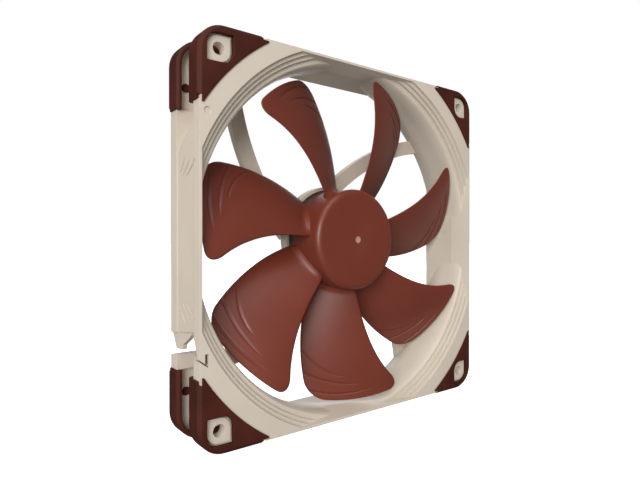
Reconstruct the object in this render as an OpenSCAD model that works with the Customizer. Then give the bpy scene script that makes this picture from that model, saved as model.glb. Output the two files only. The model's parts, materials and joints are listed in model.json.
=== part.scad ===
// Axial case fan, 140 mm square, standing upright on its two lower corners.
// Row frame: +X right and +Z up as seen from the intake side, which faces -Y. Origin at the rotor axis, mid depth.
// Every module is drawn lying down, rotor axis along Z and intake side up, and upright() stands it up.

/* [Housing] */
// Outside width and height over the rubber corners
fan_width = 140; // [139:0.5:141]
// Depth of the plastic housing along the rotor axis
housing_depth = 25; // [24.5:0.1:25.5]
// How far the rubber corners stand outside the plastic sides
side_inset = 0.6; // [0.4:0.1:0.8]
// Hole-to-hole distance of the mounting screws
hole_spacing = 124.5; // [124:0.1:125]
// Diameter of each mounting hole
hole_diameter = 4.3; // [4.1:0.05:4.5]
// Depth of the open gap between the front and rear corner flanges
flange_gap = 15.4; // [14.8:0.1:15.8]
// Radius of the barrel's outside at the intake face
barrel_front_radius = 80; // [79.5:0.1:80.2]
// Radius of the barrel's outside at the exhaust face
barrel_rear_radius = 73.9; // [73.6:0.1:74.4]
// Depth of the rim strip along each side at the exhaust face
rear_rim_depth = 6.3; // [5:0.1:7]

/* [Duct] */
// Radius of the throat that the blade tips sweep in
throat_radius = 68.3; // [68:0.1:68.6]
// Radius of the first, outermost intake step
step_radius = 74.5; // [74:0.1:75]
// Number of square steps around the intake
step_count = 3; // [2:1:4]
// Width of each intake step
step_width = 1.5; // [1.2:0.1:1.6]
// Depth of each intake step
step_depth = 1.1; // [0.9:0.1:1.2]
// Radius of the exhaust mouth at the rear face
outlet_radius = 72; // [71:0.1:72.5]
// Distance from the centre to the four flats inside the duct
duct_flat = 67.25; // [67.2:0.05:67.5]
// Distance from the centre to the same flats where they open out at the intake face
mouth_flat = 68.5; // [68:0.1:68.6]

/* [Struts and motor base] */
// Number of curved struts that carry the motor
strut_count = 4; // [3:1:5]
// Width of each strut across its curve
strut_width = 6.4; // [5:0.1:6.6]
// Depth of each strut along the rotor axis
strut_depth = 3; // [2.4:0.1:3.6]
// Radius of each strut's curve
strut_curve = 106.2; // [105:0.1:107]
// Radius of the round motor base
base_radius = 22.6; // [22.3:0.1:23]
// Height of the rim around the motor base
base_rim_height = 4; // [3.5:0.1:4.3]

/* [Rubber corners] */
// How far each rubber corner stands proud of the housing face
pad_proud = 0.4; // [0.2:0.1:0.6]
// Depth of each rubber corner along the rotor axis
pad_depth = 8.3; // [8:0.1:8.6]
// Outside corner radius of the rubber
pad_corner_radius = 9.6; // [9:0.1:10.4]
// Radius about the rotor axis of the rubber's curved inner edge
pad_arc_radius = 81; // [80.9:0.1:81.4]
// Thickness of the rubber outside the flange
pad_wall = 1; // [0.8:0.1:1.1]
// Width of the rubber lip behind the flange
pad_lip = 1.8; // [1.5:0.1:2.2]
// Depth of the step from the housing face to the flange under the rubber
flange_step = 1.5; // [1.3:0.1:1.7]
// Diameter of the two pegs that lock each rubber corner to its flange
peg_diameter = 3; // [2.6:0.1:3.4]

/* [Impeller] */
// Number of blades
blade_count = 7; // [5:1:9]
// Radius of the impeller hub
hub_radius = 20.4; // [20:0.1:20.8]
// Radius of the blade tips
tip_radius = 66.5; // [65:0.1:66.6]
// Blade thickness at the root
root_thickness = 2; // [1.6:0.1:2.4]
// Blade thickness at the tip
tip_thickness = 1.3; // [1:0.1:1.6]
// Forward sweep of the blade from root to tip, in degrees
blade_sweep = 16.3; // [10:0.1:20]

/* [Motor] */
// Diameter of the steel shaft
shaft_diameter = 3; // [2.8:0.1:3.2]
// Radial running clearance between shaft and sleeve
shaft_clearance = 0.02; // [0.01:0.01:0.06]
// Radius of the brass bearing shell
shell_radius = 4.2; // [4:0.1:4.4]
// Radius of the laminated stator over its pole faces
stator_radius = 15.2; // [15:0.1:15.4]
// Air gap between stator and magnet
air_gap = 0.6; // [0.4:0.1:0.7]

/* [Hidden] */
$fn = 96;
cut = 1; // overshoot of cutting bodies past the faces they cut

// Housing levels along the rotor axis, intake side positive
half_depth = housing_depth / 2;
pad_top = half_depth + pad_proud;
flange_top = half_depth - flange_step;
flange_bottom = flange_gap / 2;
boss_top = flange_top + 0.5;
side = fan_width / 2 - side_inset;
flange_side = fan_width / 2 - pad_wall;
hole_at = hole_spacing / 2;
leg_end = 44.9; // where the rubber's side skirt ends, from the centre line
face_leg_end = 43.9; // where the rubber's face ends
notch_in = 1.4; // the small step at the end of each rubber leg
notch_up = 2.3;
boss_width = 8.4;
boss_round = 3.7;
window_gap = 0.6;
peg_near = 53.2; // the two pegs, mirrored about the corner's diagonal
peg_far = 65.5;
edge_front = 1.2; // chamfer along the rubber's outer face
edge_back = 0.9; // chamfer along the rubber's lip
panel_inset = 0.3; // how far the side panels lie inside the rims
rear_edge = 1; // chamfer along the four rear edges
mark_radius = 1.2; // shallow round mould mark beside one corner
mark_depth = 0.3;
mark_at = [-66.6, 41.4];

// Impeller and motor levels along the rotor axis
hub_front = 9.8;
hub_rear = -7.4;
hub_wall = 1.9;
hub_plate = 1.6;
hub_edge = 1.8;
hub_dot_radius = 1.4;
hub_dot_depth = 0.3;
yoke_plate = 0.9;
yoke_front = hub_front - hub_plate;
yoke_radius = hub_radius - hub_wall;
yoke_rear = -6.4;
magnet_radius = yoke_radius - yoke_plate;
magnet_front = 4.6;
magnet_rear = -5.8;
boss_radius = 3.5;
boss_bottom = 5.6;
shaft_r = shaft_diameter / 2;
shaft_front = 7.7;
shaft_rear = -9.95;
base_front = -half_depth + base_rim_height;
base_floor = -half_depth + 1.1;
base_wall = 1.4;
base_boss_radius = 6;
base_boss_front = -5;
board_post_at = 18.5;
board_post_radius = 1;
board_post_sink = 0.4;
core_front = 4;
core_rear = -3;
shell_front = 4.9;
sleeve_radius = 3.2;
sleeve_front = 3.9;
sleeve_rear = -7.6;
pad_floor = base_floor + 0.8;
board_front = -8.2;
board_rear = -9.2;
board_radius = 20.2;
disc_radius = 20.4;
disc_depth = 0.3;
arm_width = 4;
liner = 0.4;

rubber = [0.29, 0.11, 0.08];
cream = [0.80, 0.75, 0.69];
blade_brown = [0.36, 0.18, 0.15];

module upright() {
    rotate([90, 0, 0]) children();
}

module slab(bottom, top) {
    translate([0, 0, bottom]) linear_extrude(top - bottom) children();
}

module tube(outer, inner, bottom, top) {
    slab(bottom, top) difference() {
        circle(outer);
        circle(inner);
    }
}

// ---- Corner outlines -------------------------------------------------

// Points of one quadrant of a square with a rounded corner
function corner_points(half, radius, steps = 10) = [
    for (i = [0:steps])
        let (a = 90 * i / steps)
        [half - radius + radius * cos(a), half - radius + radius * sin(a)]
];

module rounded_quadrant(half, radius) {
    polygon(concat([[half, 0]], corner_points(half, radius), [[0, half], [0, 0]]));
}

module rounded_square(half, radius) {
    quarter = corner_points(half, radius);
    polygon([
        for (q = [0:3], p = quarter)
            [p[0] * cos(90 * q) - p[1] * sin(90 * q), p[0] * sin(90 * q) + p[1] * cos(90 * q)]
    ]);
}

// Leaf-shaped boss: wide radii towards and away from the rotor, sharp on the other two corners
module leaf(width, radius) {
    h = width / 2;
    outer_corner = corner_points(h, radius, 8);
    polygon(concat(outer_corner, [[-h, h]], [for (p = outer_corner) -p], [[h, -h]]));
}

// Plastic flange below the rubber, with full-width sides between the rubber legs
module flange_2d() {
    rounded_square(flange_side, pad_corner_radius - pad_wall);
    square([2 * side, 2 * leg_end], center = true);
    square([2 * leg_end, 2 * side], center = true);
}

// Face of one rubber corner, in the (+,+) quadrant
module pad_face_2d() {
    difference() {
        rounded_quadrant(fan_width / 2, pad_corner_radius);
        circle(pad_arc_radius);
        square([fan_width, face_leg_end]);
        square([face_leg_end, fan_width]);
        translate([flange_side - notch_in + 1, 0]) square([fan_width, face_leg_end + notch_up]);
        translate([0, flange_side - notch_in + 1]) square([face_leg_end + notch_up, fan_width]);
    }
}

// Band of rubber that follows the outer edge of the corner
module pad_band_2d(inset) {
    difference() {
        rounded_quadrant(fan_width / 2, pad_corner_radius);
        rounded_quadrant(fan_width / 2 - inset, pad_corner_radius - inset);
        square([fan_width, leg_end]);
        square([leg_end, fan_width]);
    }
}

// ---- Housing ---------------------------------------------------------

module barrel() {
    intersection() {
        translate([0, 0, -half_depth])
            cylinder(h = housing_depth, r1 = barrel_rear_radius, r2 = barrel_front_radius);
        slab(-half_depth, half_depth) square(2 * (side - panel_inset), center = true);
    }
}

// Flange plates for one side; the bosses stand in the windows of the rubber
module front_flanges() {
    slab(flange_bottom, flange_top) flange_2d();
    slab(flange_top, half_depth) difference() {
        flange_2d();
        for (q = [0:3]) rotate(90 * q) pad_face_2d();
    }
    for (q = [0:3])
        rotate(90 * q)
            translate([hole_at, hole_at, 0]) slab(flange_top, boss_top) leaf(boss_width, boss_round);
}

// Thicker strips along the four sides at the exhaust face
module rear_rim() {
    slab(-flange_top, -half_depth + rear_rim_depth) {
        square([2 * side, 2 * leg_end], center = true);
        square([2 * leg_end, 2 * side], center = true);
    }
}

module rear_edges() {
    for (q = [0:3])
        rotate(90 * q) translate([side, 0, -half_depth]) rotate([0, 45, 0])
            cube([rear_edge * sqrt(2), 2 * leg_end, rear_edge * sqrt(2)], center = true);
}

module flange_holes() {
    for (q = [0:3])
        rotate(90 * q) {
            translate([hole_at, hole_at, -half_depth - cut])
                cylinder(h = housing_depth + 2 * cut, d = hole_diameter);
            translate([peg_far, peg_near, -half_depth - cut])
                cylinder(h = housing_depth + 2 * cut, d = peg_diameter);
            translate([peg_near, peg_far, -half_depth - cut])
                cylinder(h = housing_depth + 2 * cut, d = peg_diameter);
        }
}

// Air path: square steps at the intake, a curved lead-in, the throat and a flared outlet
lead_in_front = half_depth - step_count * step_depth;
lead_in_rear = 2.5;
lead_in_radius = step_radius - step_count * step_width;
outlet_front = -1.5;
duct_profile = concat(
    [[0, half_depth + cut], [step_radius, half_depth + cut]],
    [
        for (i = [1:step_count], k = [0, 1])
            [step_radius - (i - 1 + k) * step_width, half_depth - i * step_depth]
    ],
    [
        for (i = [1:6])
            let (u = i / 6)
            [
                throat_radius + (lead_in_radius - throat_radius) * (1 - sin(90 * u)),
                lead_in_front + (lead_in_rear - lead_in_front) * (1 - cos(90 * u))
            ]
    ],
    [
        for (i = [0:6])
            let (u = i / 6)
            [
                throat_radius + (outlet_radius - throat_radius) * (1 - cos(90 * u)),
                outlet_front + (-half_depth - outlet_front) * u
            ]
    ],
    [[outlet_radius, -half_depth - cut], [0, -half_depth - cut]]
);

// Side view of the square that limits the duct: flats that open out at the intake
flat_front = half_depth + cut;
flat_bend = 3.5;
flat_open = duct_flat + (mouth_flat - duct_flat) * (flat_front - flat_bend) / (half_depth - flat_bend);
flats_profile = [
    [-duct_flat, -flat_front],
    [duct_flat, -flat_front],
    [duct_flat, flat_bend],
    [flat_open, flat_front],
    [-flat_open, flat_front],
    [-duct_flat, flat_bend]
];
module duct_flats() {
    rotate([90, 0, 0]) linear_extrude(fan_width, center = true) polygon(flats_profile);
}

module duct() {
    intersection() {
        rotate_extrude() polygon(duct_profile);
        duct_flats();
        rotate(90) duct_flats();
    }
}

// Cable notch through the left side, open at the rear. Outline points are [depth towards the rear, height].
notch_reach = 14;
notch_rear = half_depth + cut;
notch_front = -7;
notch_outline = [
    [notch_front, -30.1],
    [notch_front, -39.1],
    [-5, -39.4],
    [-4.6, -38.6],
    [-3.2, -38.1],
    [9.5, -40.1],
    [notch_rear, -40.6],
    [notch_rear, -32.8],
    [7.5, -32]
];
// Shallow slanted bite that carries the notch on into the front rim
bite_reach = 2.4;
bite_outline = [
    [notch_front, -30.1],
    [-11.2, -38.5],
    [notch_front, -39.1]
];
// Thin tooth that hangs in the notch and keeps the leads in
tooth_inset = 0.6;
tooth_thickness = 1.6;
tooth_outline = [
    [11.6, -31],
    [11.4, -32.4],
    [7.9, -37.8],
    [2.7, -37.3],
    [2.2, -35.6],
    [-3.2, -32.5],
    [-4.7, -31.3],
    [-4.7, -29.5],
    [7.5, -30]
];
// Upright slot in the intake face and the fine slanted cut that joins it to the notch
slot_size = [1.2, 3.6];
slot_at = [-67.5, -40.1];
slit_width = 0.45;
slit_length = 5;
slit_start = [-70.5, -37.9];
slit_slope = -37;
slot_bottom = 9;

module through_side(from, reach) {
    translate([from, 0, 0]) rotate([0, 90, 0]) linear_extrude(reach) children();
}

module cable_notch() {
    through_side(-side - cut, notch_reach) polygon(notch_outline);
    through_side(-side - cut, bite_reach) polygon(bite_outline);
    slab(slot_bottom, half_depth + cut) {
        translate(slot_at) square(slot_size);
        translate(slit_start) rotate(slit_slope) square([slit_length, slit_width]);
    }
}

module cable_tooth() {
    through_side(-side + tooth_inset, tooth_thickness) polygon(tooth_outline);
}

// Three shallow lens-shaped grips near both ends of each side, cut by thin discs that just bite the face
grip_disc = 26;
grip_bite = 0.35;
grip_width = 0.8;
grip_end = 24.6;
grip_pitch = 3.2;
grip_first = -2.2;
grip_shift = 0.9;
grip_lean = 38;
grip_turn = 9;
grip_depth = side - panel_inset + grip_disc - grip_bite;
module side_grips() {
    for (end = [-1, 1], i = [0:2])
        translate([grip_depth, end * (grip_end - grip_shift * i), grip_pitch * i + grip_first])
            rotate([end * (grip_lean + grip_turn * i), 0, 0])
                cylinder(h = grip_width, r = grip_disc, center = true);
}

// Struts curve from the wall to the motor base
strut_centre = 93.04;
strut_angle = 50.8;
module struts() {
    intersection() {
        slab(-half_depth, -half_depth + strut_depth)
            for (q = [0:strut_count - 1])
                rotate(360 / strut_count * q) intersection() {
                    rotate(strut_angle) translate([strut_centre, 0]) difference() {
                        circle(strut_curve + strut_width / 2);
                        circle(strut_curve - strut_width / 2);
                    }
                    difference() {
                        translate([-side, 0]) square([side, side]);
                        circle(base_radius - base_wall / 2);
                    }
                }
        barrel();
    }
}

module motor_base() {
    tube(base_radius, base_radius - base_wall, -half_depth, base_front);
    slab(-half_depth + disc_depth, base_floor) circle(base_radius - base_wall / 2);
    tube(base_boss_radius, shell_radius, base_floor, base_boss_front);
    for (a = [30, 150, 270])
        rotate(a) translate([board_post_at, 0, base_floor - board_post_sink])
            cylinder(h = board_rear - base_floor + board_post_sink, r = board_post_radius);
}

module frame() {
    color(cream) upright() {
        difference() {
            union() {
                barrel();
                front_flanges();
                mirror([0, 0, 1]) front_flanges();
                rear_rim();
            }
            duct();
            flange_holes();
            cable_notch();
            rear_edges();
            translate([mark_at[0], mark_at[1], half_depth - mark_depth])
                cylinder(h = mark_depth + cut, r = mark_radius);
            for (q = [0:3]) rotate(90 * q) side_grips();
        }
        cable_tooth();
        struts();
        motor_base();
    }
}

// ---- Rubber corners --------------------------------------------------

// Outer form of one corner, chamfered front and back
module corner_block() {
    back = pad_top - pad_depth;
    levels = [
        [back, edge_back], [back + edge_back, 0], [pad_top - edge_front, 0], [pad_top, edge_front]
    ];
    hull()
        for (level = levels)
            translate([0, 0, level[0] - 0.005]) linear_extrude(0.01)
                rounded_quadrant(fan_width / 2 - level[1], pad_corner_radius - level[1]);
}

module rubber_corner() {
    color(rubber) {
        difference() {
            intersection() {
                union() {
                    slab(flange_top, pad_top) pad_face_2d();
                    slab(pad_top - pad_depth, flange_top) pad_band_2d(pad_wall);
                    slab(pad_top - pad_depth, flange_bottom) pad_band_2d(pad_lip);
                }
                corner_block();
            }
            translate([hole_at, hole_at, 0])
                slab(flange_top - cut, pad_top + cut)
                    leaf(boss_width + 2 * window_gap, boss_round + window_gap);
        }
        for (p = [[peg_near, peg_far], [peg_far, peg_near]])
            translate([p[0], p[1], flange_bottom - 0.3])
                cylinder(h = flange_top - flange_bottom + 0.8, d = peg_diameter);
    }
}

module pad(quarter, rear) {
    upright() mirror([0, 0, rear]) rotate(90 * quarter) rubber_corner();
}

// ---- Impeller --------------------------------------------------------

// Blade laws from root (s = 0) to tip (s = 1); t runs from the trailing edge (-1) to the leading edge (1)
blade_root = hub_radius - hub_wall / 2;
edge_round = 6.6;
function blade_radius(s) = blade_root + (tip_radius - blade_root) * s;
function blade_centre(s) = 1 + blade_sweep * (0.54 * s + 0.46 * s * s);
function blade_half_angle(s) = 21.3 - 11.8 * s + 7.4 * s * s;
function blade_level(s) = -1.7 + 3.2 * s + 1.45 * s * s;
function blade_rise(s) = 5.7 + 4.2 * s - 1.95 * s * s;
function blade_camber(s) = 1.5 * sqrt(s);
function blade_thickness(s) = root_thickness + (tip_thickness - root_thickness) * s;
// Share of the half chord that the rounded tip corners take away
function corner_share(s) =
    let (
        r = blade_radius(s),
        k = max(0, min(1, (r - tip_radius + edge_round) / edge_round))
    )
    edge_round * (1 - sqrt(max(0, 1 - k * k))) / (r * blade_half_angle(s) * PI / 180);
// One point of the blade skin; face is 1 on the intake side and -1 behind
function blade_point(s, t, face) =
    let (
        tc = t * (1 - corner_share(s)),
        r = blade_radius(s),
        half_arc = r * blade_half_angle(s) * PI / 180,
        rise = blade_rise(s),
        chord = sqrt(half_arc * half_arc + rise * rise),
        skin = face * blade_thickness(s) * (0.2 + 0.3 * (1 - t * t)),
        a = blade_centre(s) + blade_half_angle(s) * tc - skin * rise / chord / r * 180 / PI,
        z = blade_level(s) + rise * tc + blade_camber(s) * (1 - tc * tc) + skin * half_arc / chord
    )
    [r * cos(a), r * sin(a), z];

stations = 8; // across the chord
sections = [0, 0.12, 0.25, 0.38, 0.5, 0.62, 0.73, 0.82, 0.88, 0.93, 0.97, 0.99];
ring = 2 * (stations + 1);
blade_points = [
    for (s = sections)
        each concat(
            [for (j = [0:stations]) blade_point(s, -1 + 2 * j / stations, 1)],
            [for (j = [stations:-1:0]) blade_point(s, -1 + 2 * j / stations, -1)]
        )
];
last_ring = ring * (len(sections) - 1);
blade_faces = concat(
    [
        for (i = [0:len(sections) - 2], j = [0:ring - 1])
            let (a = ring * i + j, b = ring * i + (j + 1) % ring)
            each [[a, b, b + ring], [a, b + ring, a + ring]]
    ],
    [
        for (j = [0:stations - 1])
            let (back = ring - 1 - j)
            each [[j, back, j + 1], [j + 1, back, back - 1]]
    ],
    [
        for (j = [0:stations - 1])
            let (back = ring - 1 - j)
            each [
                [last_ring + j, last_ring + j + 1, last_ring + back],
                [last_ring + j + 1, last_ring + back - 1, last_ring + back]
            ]
    ]
);

module blade() {
    polyhedron(points = blade_points, faces = blade_faces);
}

module hub() {
    rotate_extrude() polygon(concat(
        [[0, yoke_front], [0, hub_front - hub_dot_depth]],
        [[hub_dot_radius, hub_front - hub_dot_depth], [hub_dot_radius, hub_front]],
        [
            for (i = [0:6])
                let (a = 90 - 15 * i)
                [hub_radius - hub_edge + hub_edge * cos(a), hub_front - hub_edge + hub_edge * sin(a)]
        ],
        [[hub_radius, hub_rear], [yoke_radius, hub_rear], [yoke_radius, yoke_front]]
    ));
}

module impeller() {
    color(blade_brown) upright() {
        hub();
        for (k = [0:blade_count - 1]) rotate(360 / blade_count * k) blade();
    }
}

// ---- Rotor -----------------------------------------------------------

module rotor_yoke() {
    color("silver") upright() {
        tube(yoke_radius, magnet_radius, yoke_rear, yoke_front - yoke_plate);
        tube(yoke_radius, boss_radius, yoke_front - yoke_plate, yoke_front);
    }
}

module ring_magnet() {
    color("dimgray") upright() tube(magnet_radius, stator_radius + air_gap, magnet_rear, magnet_front);
}

module shaft_boss() {
    color("goldenrod") upright() difference() {
        slab(boss_bottom, yoke_front) circle(boss_radius);
        slab(boss_bottom - cut, shaft_front) circle(shaft_r);
    }
}

groove_radius = 1.1;
groove_front = -7.95;
groove_rear = -8.45;
module shaft() {
    color("lightgray") upright() difference() {
        slab(shaft_rear, shaft_front) circle(shaft_r);
        tube(shaft_r + cut, groove_radius, groove_rear, groove_front);
    }
}

module retaining_clip() {
    color("gray") upright() difference() {
        tube(2.4, groove_radius, groove_rear + 0.05, groove_front - 0.05);
        translate([0, -0.6, groove_rear - cut]) cube([5, 1.2, 3]);
    }
}

// ---- Bearing ---------------------------------------------------------

module bearing_shell() {
    color("goldenrod") upright() {
        tube(shell_radius, sleeve_radius, pad_floor, shell_front);
        slab(base_floor, pad_floor) circle(shell_radius);
    }
}

module bearing_sleeve() {
    color("peru") upright()
        tube(sleeve_radius, shaft_r + shaft_clearance, sleeve_rear, sleeve_front);
}

module thrust_pad() {
    color("ivory") upright() slab(pad_floor, pad_floor + 0.6) circle(sleeve_radius);
}

module oil_seal() {
    color("black") upright() tube(sleeve_radius, shaft_r + 0.25, sleeve_front, sleeve_front + 0.7);
}

// ---- Stator ----------------------------------------------------------

pole_inner = 13.4;
pole_half_width = 8.2;
core_ring = 6.6;
module arms_2d(width, reach) {
    square([2 * reach, width], center = true);
    square([width, 2 * reach], center = true);
}

module stator_core() {
    color("slategray") upright() difference() {
        slab(core_rear, core_front) {
            circle(core_ring);
            arms_2d(arm_width, pole_inner + 0.4);
            difference() {
                intersection() {
                    circle(stator_radius);
                    arms_2d(2 * pole_half_width, stator_radius);
                }
                circle(pole_inner);
                rotate(45) arms_2d(2, stator_radius + cut);
            }
        }
        slab(core_rear - cut, core_front + cut) circle(shell_radius);
    }
}

// Plastic liner over one half of the arms, from the middle of the stack outwards
insulator_split = (core_front + core_rear) / 2;
collar_radius = 6.9;
liner_reach = pole_inner - 0.5;
module insulator_cover(top) {
    difference() {
        slab(insulator_split, top + liner) difference() {
            union() {
                arms_2d(arm_width + 2 * liner, liner_reach);
                circle(collar_radius);
            }
            circle(shell_radius);
        }
        slab(insulator_split - cut, top) {
            arms_2d(arm_width, liner_reach + cut);
            circle(core_ring);
        }
    }
}

module upper_insulator() {
    color("white") upright() insulator_cover(core_front);
}

module lower_insulator() {
    color("white") upright() {
        translate([0, 0, 2 * insulator_split]) mirror([0, 0, 1]) insulator_cover(core_front);
        tube(collar_radius, base_boss_radius, board_front, core_rear - liner);
    }
}

coil_near = 7.3;
coil_length = 5;
coil_half = 4.3;
coil_build = 1.4;
module coil(quarter) {
    half_window = arm_width / 2 + liner;
    color("chocolate") upright() rotate(90 * quarter) difference() {
        translate([coil_near, -coil_half, core_rear - liner - coil_build])
            cube([coil_length, 2 * coil_half, core_front - core_rear + 2 * liner + 2 * coil_build]);
        translate([coil_near - cut, -half_window, core_rear - liner])
            cube([coil_length + 2 * cut, 2 * half_window, core_front - core_rear + 2 * liner]);
    }
}

// ---- Electronics -----------------------------------------------------

module circuit_board() {
    color("darkgreen") upright() tube(board_radius, base_boss_radius, board_rear, board_front);
}

module on_board_front(radius, angle, size) {
    upright() rotate(angle) translate([radius - size[0] / 2, -size[1] / 2, board_front]) cube(size);
}

module on_board_rear(radius, angle, size) {
    upright() rotate(angle) translate([radius - size[0] / 2, -size[1] / 2, board_rear - size[2]]) cube(size);
}

module hall_sensor() {
    color("black") on_board_front(16.6, 45, [3, 4, 0.7]);
}

module driver_chip() {
    color("black") on_board_rear(12, 90, [5, 6, 1.5]);
}

module capacitor(index) {
    color("tan") on_board_rear(11, 210 + 25 * index, [1.6, 3.2, 1.3]);
}

module resistor(index) {
    color("black") on_board_rear(11, 310 + 22 * index, [1.2, 2, 0.6]);
}

module solder_pad(index) {
    color("silver") upright() rotate(180 + 12 * index)
        translate([17, 0, board_rear - 0.5]) cylinder(h = 0.5, r = 1.1);
}

// Plain disc that closes the back of the motor base
module rear_disc() {
    color("gainsboro") upright() slab(-half_depth, -half_depth + disc_depth) circle(disc_radius);
}

frame();
pad(0, 0);  // pad_front_top_right
pad(1, 0);  // pad_front_top_left
pad(2, 0);  // pad_front_bottom_left
pad(3, 0);  // pad_front_bottom_right
pad(0, 1);  // pad_rear_top_right
pad(1, 1);  // pad_rear_top_left
pad(2, 1);  // pad_rear_bottom_left
pad(3, 1);  // pad_rear_bottom_right
impeller();
rotor_yoke();
ring_magnet();
shaft_boss();
shaft();
retaining_clip();
bearing_shell();
bearing_sleeve();
thrust_pad();
oil_seal();
stator_core();
upper_insulator();
lower_insulator();
coil(0);  // coil_1
coil(1);  // coil_2
coil(2);  // coil_3
coil(3);  // coil_4
circuit_board();
hall_sensor();
driver_chip();
capacitor(1);  // capacitor_1
capacitor(2);  // capacitor_2
resistor(1);  // resistor_1
resistor(2);  // resistor_2
solder_pad(1);  // solder_pad_1
solder_pad(2);  // solder_pad_2
solder_pad(3);  // solder_pad_3
solder_pad(4);  // solder_pad_4
rear_disc();
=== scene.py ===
import json
import math

import bmesh
import bpy
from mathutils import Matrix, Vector


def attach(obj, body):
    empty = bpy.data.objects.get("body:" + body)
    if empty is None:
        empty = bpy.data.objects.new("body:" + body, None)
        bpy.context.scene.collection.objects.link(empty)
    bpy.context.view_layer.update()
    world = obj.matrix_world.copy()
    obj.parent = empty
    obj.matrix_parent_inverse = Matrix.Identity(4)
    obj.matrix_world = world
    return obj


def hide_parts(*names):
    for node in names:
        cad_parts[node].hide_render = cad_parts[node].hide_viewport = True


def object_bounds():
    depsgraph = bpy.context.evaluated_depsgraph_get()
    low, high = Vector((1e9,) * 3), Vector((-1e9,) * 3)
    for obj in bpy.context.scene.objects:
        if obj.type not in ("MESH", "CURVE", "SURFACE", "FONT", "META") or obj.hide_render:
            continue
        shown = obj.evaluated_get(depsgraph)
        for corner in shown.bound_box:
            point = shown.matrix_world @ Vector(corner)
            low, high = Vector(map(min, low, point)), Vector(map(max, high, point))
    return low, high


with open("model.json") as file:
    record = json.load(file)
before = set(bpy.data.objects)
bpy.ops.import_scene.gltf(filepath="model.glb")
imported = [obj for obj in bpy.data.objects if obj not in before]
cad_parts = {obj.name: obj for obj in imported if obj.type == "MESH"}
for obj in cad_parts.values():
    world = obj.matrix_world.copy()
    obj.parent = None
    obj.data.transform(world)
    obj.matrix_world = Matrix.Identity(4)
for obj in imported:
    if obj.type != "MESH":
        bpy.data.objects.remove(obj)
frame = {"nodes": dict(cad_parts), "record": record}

CAD_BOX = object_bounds()
NODES = frame["nodes"]
MM = 0.001
WHITE = (1.0, 1.0, 1.0, 1.0)


# ---- Node helpers ------------------------------------------------------------

EDGE_SAMPLES = 6
ACROSS_AXIS = (1.0, 0.0, 1.0)
SPOT_CORE = 0.8


class Shader:
    """A new material with one Principled shader, and short calls for its nodes."""

    def __init__(self, name, color, roughness, metallic=0.0, **sockets):
        self.material = bpy.data.materials.new(name)
        self.material.use_nodes = True
        self.tree = self.material.node_tree
        self.principled = self.tree.nodes["Principled BSDF"]
        self.principled.inputs["Base Color"].default_value = (*color, 1.0)
        self.principled.inputs["Roughness"].default_value = roughness
        self.principled.inputs["Metallic"].default_value = metallic
        for socket, value in sockets.items():
            self.principled.inputs[socket.replace("_", " ")].default_value = value
        self.coordinates = self.node("ShaderNodeTexCoord").outputs["Object"]

    def node(self, kind, links=(), **values):
        """A new node; links gives each socket a source or a constant, values sets its options."""
        made = self.tree.nodes.new(kind)
        for key, value in values.items():
            setattr(made, key, value)
        for socket, source in links:
            if isinstance(source, bpy.types.NodeSocket):
                self.tree.links.new(source, made.inputs[socket])
            else:
                made.inputs[socket].default_value = source
        return made

    def noise(self, scale, detail=3.0, roughness=0.5, stretch=None):
        """Fractal noise in the object's own coordinates, scale in cells per metre."""
        vector = self.coordinates
        if stretch:
            mapping = self.node("ShaderNodeMapping", [("Vector", vector), ("Scale", stretch)])
            vector = mapping.outputs["Vector"]
        made = self.node("ShaderNodeTexNoise", [
            ("Vector", vector), ("Scale", scale), ("Detail", detail), ("Roughness", roughness)])
        return made.outputs["Fac"]

    def ramp(self, source, low, high, start=0.35, end=0.65):
        """Colour between low and high as source goes from start to end."""
        made = self.node("ShaderNodeValToRGB", [("Fac", source)])
        made.color_ramp.elements[0].position = start
        made.color_ramp.elements[1].position = end
        made.color_ramp.elements[0].color = (*low, 1.0)
        made.color_ramp.elements[1].color = (*high, 1.0)
        return made.outputs["Color"]

    def rounded(self, radius):
        """Normals that look as if hard edges had a small radius, given in millimetres."""
        return self.node("ShaderNodeBevel", [("Radius", radius * MM)], samples=EDGE_SAMPLES).outputs["Normal"]

    def axis_spot(self, under, color, radius):
        """The colour under, with a round spot of another colour on the rotor axis; radius in millimetres."""
        flat = self.node(
            "ShaderNodeVectorMath", [(0, self.coordinates), (1, ACROSS_AXIS)], operation="MULTIPLY")
        away = self.node("ShaderNodeVectorMath", [(0, flat.outputs["Vector"])], operation="LENGTH")
        inside = self.span(away.outputs["Value"], 1.0, 0.0, radius * SPOT_CORE * MM, radius * MM)
        mix = self.node("ShaderNodeMix", data_type="RGBA")
        mix.inputs["B"].default_value = (*color, 1.0)
        self.tree.links.new(inside, mix.inputs["Factor"])
        self.tree.links.new(under, mix.inputs["A"])
        return mix.outputs["Result"]

    def span(self, source, low, high, start=0.3, end=0.7):
        """Value between low and high as source goes from start to end."""
        made = self.node("ShaderNodeMapRange", [
            ("Value", source), ("From Min", start), ("From Max", end), ("To Min", low), ("To Max", high)])
        return made.outputs["Result"]

    def link(self, source, socket):
        """Feeds a socket of the Principled shader."""
        self.tree.links.new(source, self.principled.inputs[socket])

    def bump(self, source, distance, under=None):
        """Normals of a relief as high as distance, in metres, over the normals under."""
        links = [("Height", source), ("Distance", distance), ("Strength", 1.0)]
        if under is not None:
            links.append(("Normal", under))
        return self.node("ShaderNodeBump", links).outputs["Normal"]


def clamped(value):
    """The value kept between 0 and 1."""
    return max(0.0, min(1.0, value))


def tint(color, factor):
    """A colour made lighter or darker."""
    return tuple(min(1.0, c * factor) for c in color)


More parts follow.
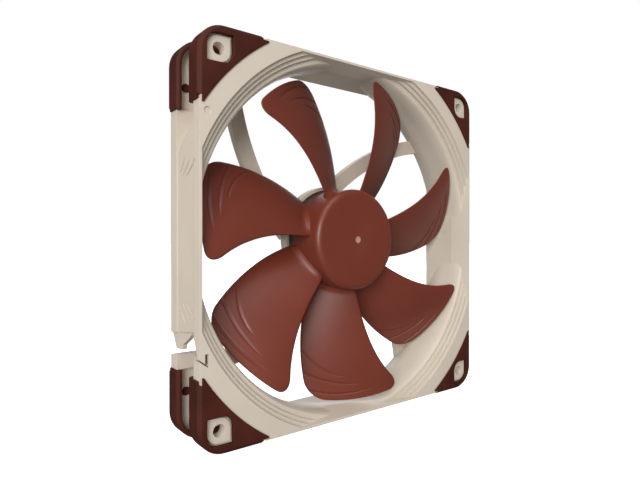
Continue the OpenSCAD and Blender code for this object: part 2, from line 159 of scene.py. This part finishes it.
def moulded_plastic(name, color, roughness, grain, variation=0.05, gloss=0.42, edge=0.0, spot=None):
    """Spark-eroded moulded plastic: fine grain in the surface, faint flow clouds in colour and gloss."""
    s = Shader(name, color, roughness, Specular_IOR_Level=gloss)
    clouds = s.noise(34.0, 4.0, 0.55)
    shade = s.ramp(clouds, tint(color, 1 - variation), tint(color, 1 + variation))
    # A given spot is a colour painted on the rotor axis; on the hub it is a painted highlight.
    s.link(s.axis_spot(shade, *spot) if spot else shade, "Base Color")
    s.link(s.span(clouds, roughness - 0.04, roughness + 0.05), "Roughness")
    coarse = s.bump(s.noise(1500.0, 2.0, 0.6), grain, s.rounded(edge) if edge else None)
    s.link(s.bump(s.noise(5200.0, 2.0, 0.7), grain * 0.5, coarse), "Normal")
    return s.material


def soft_rubber(name, color, edge):
    """Matt moulded rubber: cloudy in colour and gloss, with a fine open grain and round edges."""
    s = Shader(name, color, 0.62, Specular_IOR_Level=0.20)
    clouds = s.noise(60.0, 5.0, 0.6)
    s.link(s.ramp(clouds, tint(color, 0.86), tint(color, 1.18)), "Base Color")
    s.link(s.span(clouds, 0.56, 0.70), "Roughness")
    s.link(s.bump(s.noise(2600.0, 4.0, 0.75), 0.03 * MM, s.rounded(edge)), "Normal")
    return s.material


def turned_metal(name, color, roughness, rings=900.0):
    """Lathe-turned metal: fine rings about the rotor axis."""
    s = Shader(name, color, roughness, metallic=1.0)
    swirl = s.noise(rings, 2.0, 0.5, stretch=(0.08, 1.0, 0.08))
    s.link(s.ramp(swirl, tint(color, 0.84), tint(color, 1.08)), "Base Color")
    s.link(s.span(swirl, roughness - 0.05, roughness + 0.1), "Roughness")
    s.link(s.bump(swirl, 0.02 * MM), "Normal")
    return s.material


SHEET_THICKNESS = 0.5


def laminated_steel(name, color):
    """A stack of stamped sheets: dark lines across the rotor axis."""
    s = Shader(name, color, 0.42, metallic=0.85)
    depth = s.node("ShaderNodeSeparateXYZ", [("Vector", s.coordinates)]).outputs["Y"]
    turns = 2 * math.pi / (SHEET_THICKNESS * MM)
    sheets = s.node("ShaderNodeMath", [(0, depth), (1, turns)], operation="MULTIPLY")
    wave = s.node("ShaderNodeMath", [(0, sheets.outputs[0])], operation="SINE").outputs[0]
    s.link(s.ramp(wave, tint(color, 0.55), tint(color, 1.1), 0.0, 0.35), "Base Color")
    s.link(s.bump(wave, 0.04 * MM), "Normal")
    return s.material


def coated_board(name, color):
    """Solder-masked laminate with the weave of its glass cloth just showing."""
    s = Shader(name, color, 0.32, Coat_Weight=0.5, Coat_Roughness=0.2)
    weave = s.node("ShaderNodeTexWave", [("Vector", s.coordinates), ("Scale", 900.0), ("Distortion", 1.5)])
    s.link(s.ramp(weave.outputs["Fac"], tint(color, 0.8), tint(color, 1.25), 0.2, 0.8), "Base Color")
    s.link(s.bump(s.noise(700.0, 3.0), 0.03 * MM), "Normal")
    return s.material


def wound_copper(name, color):
    """Enamelled copper windings, uneven in tone and slightly rough."""
    s = Shader(name, color, 0.3, metallic=0.9, Coat_Weight=0.4)
    s.link(s.ramp(s.noise(400.0, 3.0), tint(color, 0.7), tint(color, 1.15)), "Base Color")
    s.link(s.bump(s.noise(1200.0, 2.0), 0.03 * MM), "Normal")
    return s.material


def satin_foil(name, color):
    """Blank brushed foil, its grain running one way."""
    s = Shader(name, color, 0.38, metallic=0.9)
    grain = s.noise(1400.0, 4.0, 0.7, stretch=(1.0, 1.0, 0.03))
    s.link(s.ramp(grain, tint(color, 0.86), tint(color, 1.05)), "Base Color")
    s.link(s.span(grain, 0.30, 0.48), "Roughness")
    s.link(s.bump(grain, 0.01 * MM), "Normal")
    return s.material


CREAM = (0.56, 0.492, 0.408)
RUBBER = (0.056, 0.0105, 0.0050)
BROWN = (0.152, 0.0275, 0.0140)
# Lighter colour on the hub's middle, over the gate recess, is a painted highlight; the recess itself is
# geometry.
GATE_HIGHLIGHT = (0.40, 0.23, 0.19)
GATE_HIGHLIGHT_RADIUS = 1.5
HOUSING_EDGE = 0.25
PAD_EDGE = 0.5
# Heights of the moulded grain
FINE = 0.01 * MM
MEDIUM = 0.02 * MM
COARSE = 0.04 * MM

MATERIALS = {
    "cream_plastic": moulded_plastic(
        "cream_plastic_look", CREAM, 0.46, MEDIUM, 0.03, gloss=0.35, edge=HOUSING_EDGE),
    "rubber": soft_rubber("rubber_look", RUBBER, PAD_EDGE),
    "brown_plastic": moulded_plastic(
        # The spot on the hub's axis is a painted highlight in the gate recess.
        "brown_plastic_look", BROWN, 0.42, 0.015 * MM, 0.05, gloss=0.50, spot=(GATE_HIGHLIGHT, GATE_HIGHLIGHT_RADIUS)),
    "steel": turned_metal("steel_look", (0.56, 0.56, 0.57), 0.34),
    "polished_steel": turned_metal("polished_steel_look", (0.66, 0.66, 0.67), 0.2),
    "magnet": moulded_plastic("magnet_look", (0.045, 0.045, 0.05), 0.6, COARSE, 0.15),
    "brass": turned_metal("brass_look", (0.74, 0.53, 0.22), 0.26),
    "bronze": turned_metal("bronze_look", (0.50, 0.30, 0.15), 0.45, 500.0),
    "white_nylon": moulded_plastic("white_nylon_look", (0.78, 0.77, 0.72), 0.35, FINE, 0.03),
    "black_plastic": moulded_plastic("black_plastic_look", (0.018, 0.018, 0.019), 0.4, MEDIUM, 0.12),
    "laminations": laminated_steel("laminations_look", (0.33, 0.34, 0.36)),
    "copper_wire": wound_copper("copper_wire_look", (0.62, 0.27, 0.11)),
    "board": coated_board("board_look", (0.085, 0.095, 0.080)),
    "ceramic": moulded_plastic("ceramic_look", (0.42, 0.28, 0.16), 0.4, MEDIUM, 0.12),
    "solder": turned_metal("solder_look", (0.66, 0.67, 0.69), 0.25, 300.0),
    "foil": satin_foil("foil_look", (0.70, 0.70, 0.69)),
}
SLOT_OF = {part["node"]: part["material_slot"] for part in frame["record"]["subparts"]}


def put_material(obj, slot):
    """The look of a material slot as an object's only material."""
    obj.data.materials.clear()
    obj.data.materials.append(MATERIALS[slot])


# ---- Mesh helpers ------------------------------------------------------------

def new_piece(name, points, faces, body, slot, *replaced):
    """A mesh piece in millimetres that rides on a body and stands for CAD nodes."""
    mesh = bpy.data.meshes.new(name)
    mesh.from_pydata([Vector(p) * MM for p in points], [], faces)
    mesh.validate()
    for polygon in mesh.polygons:
        polygon.use_smooth = True
    obj = bpy.data.objects.new(name, mesh)
    bpy.context.scene.collection.objects.link(obj)
    put_material(obj, slot)
    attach(obj, body)
    if replaced:
        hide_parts(*replaced)
    return obj


def polar(radius, angle, depth):
    """A point at that radius and angle about the rotor axis; depth grows towards the exhaust side."""
    return (radius * math.cos(angle), depth, radius * math.sin(angle))


def arc(centre, radius, start, end, steps):
    """Points along an arc in the (radius, depth) plane, angles in degrees."""
    turns = [math.radians(start + (end - start) * i / steps) for i in range(steps + 1)]
    return [(centre[0] + radius * math.cos(a), centre[1] + radius * math.sin(a)) for a in turns]


# ---- Impeller ------------------------------------------------------------------

BLADES = 7
HUB_RADIUS = 20.4
ROOT_RADIUS = 19.45
TIP_RADIUS = 66.5
EDGE_ROUND = 6.6
ROOT_THICKNESS = 1.9
TIP_THICKNESS = 1.25
EDGE_THICKNESS = 0.62
CAMBER = 1.5
FILLET_REACH = 3.0
FILLET_HEIGHT = 1.8
FILLET_FALL = 2.4


def blade_laws(s):
    """The blade at share s of its span: centre and half angle of its arc, the level of its chord's middle,
    the rise from there to each edge, and its camber. Curves fitted to the shape of the real blade."""
    centre = 1 + 16.3 * (0.54 * s + 0.46 * s * s)
    half = 21.3 - 11.8 * s + 7.4 * s * s
    level = -1.7 + 3.2 * s + 1.45 * s * s
    rise = 5.7 + 4.2 * s - 1.95 * s * s
    return math.radians(centre), math.radians(half), level, rise, CAMBER * math.sqrt(s)


def blade_radius(s):
    """Radius at share s of the span, in millimetres."""
    return ROOT_RADIUS + (TIP_RADIUS - ROOT_RADIUS) * s


def corner_share(s):
    """Share of the half chord that the rounded tip corners take away."""
    reach = clamped((blade_radius(s) - TIP_RADIUS + EDGE_ROUND) / EDGE_ROUND)
    return EDGE_ROUND * (1 - math.sqrt(1 - reach * reach)) / (blade_radius(s) * blade_laws(s)[1])


# Each groove: its share of span where it turns, how fast it bends, and where on the chord it turns and ends
GROOVES = (
    (0.785, 0.20, -0.05, -0.05),
    (0.858, 0.045, 0.2, 0.22),
    (0.943, 0.03, -0.5, 0.45),
)
GROOVE_DEPTH = 0.45
GROOVE_WALL = 0.36
GROOVE_SLOPE = 0.8
GROOVE_FALL = 2.2
GROOVE_START = -0.985
GROOVE_RUN_IN = 0.06
GROOVE_RUN_OUT = 0.35


def groove_lines(t):
    """Where the three flow grooves run at chord position t: share of span, and strength."""
    for span, bend, turn, last in GROOVES:
        fade_out = clamped((last - t) / GROOVE_RUN_OUT)
        fade_in = clamped((t - GROOVE_START) / GROOVE_RUN_IN)
        yield span - bend * (t - turn) ** 2, fade_in * fade_out ** 0.7


def groove(s, t):
    """Depth of the intake face at (s, t), deepest along each groove, with a steep outer side."""
    radius = blade_radius(s)
    depth = 0.0
    for span, strength in groove_lines(t):
        away = radius - blade_radius(span)
        width = GROOVE_WALL if away > 0 else GROOVE_SLOPE
        depth = max(depth, strength * math.exp(-(away / width) ** 2 * GROOVE_FALL))
    return GROOVE_DEPTH * depth


def blade_skin(s, t, face, edge):
    """A point of the blade's skin; face is 1 on the intake side, edge scales the thickness near the tip."""
    centre, half, level, rise, camber = blade_laws(s)
    radius = blade_radius(s)
    tc = t * (1 - corner_share(s))
    half_arc = radius * half
    chord = math.hypot(half_arc, rise)
    thickness = ROOT_THICKNESS + (TIP_THICKNESS - ROOT_THICKNESS) * s
    profile = (1 - abs(t) ** 5) ** 0.5 * (EDGE_THICKNESS + (1 - EDGE_THICKNESS) * (1 - t * t))
    near_root = max(0.0, 1 - (radius - HUB_RADIUS) / FILLET_REACH)
    fillet = FILLET_HEIGHT * near_root ** FILLET_FALL * (1 - t ** 4)
    skin = face * (thickness / 2 * profile * edge + fillet)
    if face > 0:
        skin -= groove(s, t) * edge
    angle = centre + half * tc - skin * rise / chord / radius
    height = level + rise * tc + camber * (1 - tc * tc) + skin * half_arc / chord
    return radius, angle, -height


ROOT_ROWS = (0.0, 0.02, 0.03, 0.04, 0.05, 0.06, 0.075, 0.09)
PLAIN_START, PLAIN_LENGTH, PLAIN_ROWS = 0.11, 0.44, 18
GROOVED_START, GROOVED_LENGTH, GROOVED_ROWS = 0.56, 0.425, 112
CHORD_STEPS = 40
EVEN_SHARE = 0.55
TIP_ROUND_STEPS = 5
TIP_ROUND_TURN = 0.96


def blade_rows():
    """Shares of span for the rings: close together at the root fillet, the grooves and the tip."""
    rows = list(ROOT_ROWS)
    rows += [PLAIN_START + PLAIN_LENGTH * i / PLAIN_ROWS for i in range(PLAIN_ROWS + 1)]
    rows += [GROOVED_START + GROOVED_LENGTH * i / GROOVED_ROWS for i in range(GROOVED_ROWS + 1)]
    return rows


def blade_mesh():
    """Rings of one blade as (radius, angle, depth) points, and the faces that join them."""
    bunched = [-math.cos(math.pi * j / CHORD_STEPS) for j in range(CHORD_STEPS + 1)]
    chord = [
        (1 - EVEN_SHARE) * c + EVEN_SHARE * (-1 + 2 * j / CHORD_STEPS) for j, c in enumerate(bunched)]
    rings = [(s, 1.0) for s in blade_rows()]
    last = rings[-1][0]
    for i in range(1, TIP_ROUND_STEPS + 1):
        turn = math.pi / 2 * i / TIP_ROUND_STEPS
        rings.append((last + (1 - last) * math.sin(turn), math.cos(turn * TIP_ROUND_TURN)))
    points = []
    for s, edge in rings:
        points += [blade_skin(s, t, 1, edge) for t in chord]
        points += [blade_skin(s, t, -1, edge) for t in reversed(chord[1:-1])]
    count = 2 * CHORD_STEPS
    faces = []
    for i in range(len(rings) - 1):
        for j in range(count):
            a, b = i * count + j, i * count + (j + 1) % count
            faces.append((a, b, b + count, a + count))
    for base, flip in ((0, True), ((len(rings) - 1) * count, False)):
        for j in range(CHORD_STEPS):
            upper, lower = base + j, base + (count - j) % count
            face = tuple(dict.fromkeys((upper, upper + 1, base + count - j - 1, lower)))
            faces.append(face[::-1] if flip else face)
    return points, faces


HUB_FRONT = -9.8
HUB_REAR = 7.4
HUB_INNER = 18.5
HUB_EDGE = 2.5
HUB_PLATE = 1.6
HUB_REAR_EDGE = 0.35
HUB_INNER_EDGE = 0.2
# The gate recess in the hub's face, from its middle out, as (radius, depth below the face)
GATE_RECESS = ((0.0, 0.22), (1.15, 0.22), (1.32, 0.14), (1.45, 0.04), (1.7, 0.0))
FACE_RINGS = (8.0, 14.0)
SIDE_RINGS = (-4.0, 2.0)
LATHE_STEPS = 192


def hub_profile():
    """Outline of the hub cup in (radius, depth), from the centre of its face round to the inside."""
    rear, inner = HUB_REAR_EDGE, HUB_INNER_EDGE
    outline = [(radius, HUB_FRONT + depth) for radius, depth in GATE_RECESS]
    outline += [(radius, HUB_FRONT) for radius in FACE_RINGS]
    outline += arc((HUB_RADIUS - HUB_EDGE, HUB_FRONT + HUB_EDGE), HUB_EDGE, -90, 0, 10)
    outline += [(HUB_RADIUS, depth) for depth in SIDE_RINGS]
    outline += arc((HUB_RADIUS - rear, HUB_REAR - rear), rear, 0, 90, 4)
    outline += arc((HUB_INNER + inner, HUB_REAR - inner), inner, 90, 180, 3)
    outline += [(HUB_INNER, HUB_FRONT + HUB_PLATE), (0.0, HUB_FRONT + HUB_PLATE)]
    return outline


def lathe(outline, steps):
    """A closed solid turned about the rotor axis from an outline that starts and ends on the axis."""
    inner = outline[1:-1]
    points = [(0.0, outline[0][1], 0.0), (0.0, outline[-1][1], 0.0)]
    for k in range(steps):
        angle = 2 * math.pi * k / steps
        points += [polar(r, angle, d) for r, d in inner]
    n = len(inner)
    faces = []
    for k in range(steps):
        a, b = 2 + k * n, 2 + (k + 1) % steps * n
        faces.append((0, a, b))
        faces.append((1, b + n - 1, a + n - 1))
        faces += [(a + i, a + i + 1, b + i + 1, b + i) for i in range(n - 1)]
    return points, faces


def fix_normals(obj):
    """Turns every face outwards."""
    work = bmesh.new()
    work.from_mesh(obj.data)
    bmesh.ops.recalc_face_normals(work, faces=work.faces)
    work.to_mesh(obj.data)
    work.free()


def build_impeller():
    """Hub cup and seven blades as one moulding on the rotor."""
    points, faces = lathe(hub_profile(), LATHE_STEPS)
    blade_points, blade_faces = blade_mesh()
    for k in range(BLADES):
        turn = 2 * math.pi * k / BLADES
        start = len(points)
        points += [polar(r, angle + turn, depth) for r, angle, depth in blade_points]
        faces += [tuple(start + i for i in face) for face in blade_faces]
    fix_normals(new_piece("impeller_moulding", points, faces, "rotor", "brown_plastic", "impeller"))


# ---- CAD nodes that carry over ---------------------------------------------------

build_impeller()
for name, node in NODES.items():
    put_material(node, SLOT_OF[name])


# ---- Stage, lights and camera ------------------------------------------------------

FLOOR_LEVEL = CAD_BOX[0].z
FLOOR_HALF = 6.0
FLOOR_GREY = (0.93, 0.93, 0.93)
FLOOR_GLOW = 0.85
AMBIENT_TINT = (1.0, 0.99, 0.975, 1.0)
AMBIENT = 0.45
AMBIENT_IN_REFLECTIONS = 0.10
# Each lamp: its place and its size in metres, and its power in watts
LAMPS = {
    "key": ((-0.88, -0.73, 0.24), 0.7, 12.0),
    "top": ((-0.30, -0.45, 1.0), 0.9, 5.0),
    "back": ((0.70, 0.95, 0.45), 0.9, 5.0),
}


def build_stage():
    """A plain pale floor that gives off its own white, so it stays even out to the horizon.
    It doesn't light the object or show in its gloss."""
    mesh = bpy.data.meshes.new("floor")
    corners = [(-1, -1), (1, -1), (1, 1), (-1, 1)]
    mesh.from_pydata([(x * FLOOR_HALF, y * FLOOR_HALF, FLOOR_LEVEL) for x, y in corners], [], [(0, 1, 2, 3)])
    floor = bpy.data.objects.new("floor", mesh)
    bpy.context.scene.collection.objects.link(floor)
    paper = Shader("floor_paper", FLOOR_GREY, 0.9, Emission_Color=WHITE, Emission_Strength=FLOOR_GLOW)
    mesh.materials.append(paper.material)
    floor.visible_diffuse = False
    floor.visible_glossy = False


def build_world():
    """White to look at, dimmer as a light, dimmer still in reflections, so the lamps shape the object."""
    world = bpy.data.worlds.new("studio")
    world.use_nodes = True
    tree = world.node_tree
    seen = tree.nodes["Background"]
    seen.inputs["Color"].default_value = WHITE
    seen.inputs["Strength"].default_value = 1.0
    light = tree.nodes.new("ShaderNodeBackground")
    light.inputs["Color"].default_value = AMBIENT_TINT
    path = tree.nodes.new("ShaderNodeLightPath")
    strength = tree.nodes.new("ShaderNodeMapRange")
    strength.inputs["To Min"].default_value = AMBIENT
    strength.inputs["To Max"].default_value = AMBIENT_IN_REFLECTIONS
    tree.links.new(path.outputs["Is Glossy Ray"], strength.inputs["Value"])
    tree.links.new(strength.outputs["Result"], light.inputs["Strength"])
    mix = tree.nodes.new("ShaderNodeMixShader")
    tree.links.new(path.outputs["Is Camera Ray"], mix.inputs["Fac"])
    tree.links.new(light.outputs["Background"], mix.inputs[1])
    tree.links.new(seen.outputs["Background"], mix.inputs[2])
    tree.links.new(mix.outputs["Shader"], tree.nodes["World Output"].inputs["Surface"])
    bpy.context.scene.world = world


def area_light(name, place, size, power):
    """A round softbox turned towards the middle of the fan."""
    light = bpy.data.lights.new(name, "AREA")
    light.shape = "DISK"
    light.size = size
    light.energy = power
    obj = bpy.data.objects.new(name, light)
    obj.location = place
    obj.rotation_mode = "QUATERNION"
    obj.rotation_quaternion = (-Vector(place)).to_track_quat("-Z", "Y")
    bpy.context.scene.collection.objects.link(obj)


CAMERA_PLACE = Vector((-137.18, -162.69, 0.45)) * MM
CAMERA_AZIMUTH = math.radians(-37.607)
CAMERA_ELEVATION = math.radians(0.171)
CAMERA_LENS = 28.592
SENSOR_WIDTH = 36.0
CLIP_START = 5.0 * MM


def build_camera():
    """The camera, level with the fan and to the left of its intake side."""
    data = bpy.data.cameras.new("camera")
    data.sensor_width = SENSOR_WIDTH
    data.lens = CAMERA_LENS
    data.clip_start = CLIP_START
    obj = bpy.data.objects.new("camera", data)
    back = Vector((
        math.sin(CAMERA_AZIMUTH) * math.cos(CAMERA_ELEVATION),
        -math.cos(CAMERA_AZIMUTH) * math.cos(CAMERA_ELEVATION),
        math.sin(CAMERA_ELEVATION)))
    obj.location = CAMERA_PLACE
    obj.rotation_mode = "QUATERNION"
    obj.rotation_quaternion = (-back).to_track_quat("-Z", "Y")
    bpy.context.scene.collection.objects.link(obj)
    bpy.context.scene.camera = obj


build_stage()
build_world()
for lamp, (place, size, power) in LAMPS.items():
    area_light(lamp, place, size, power)
build_camera()
bpy.context.scene.view_settings.view_transform = "Standard"
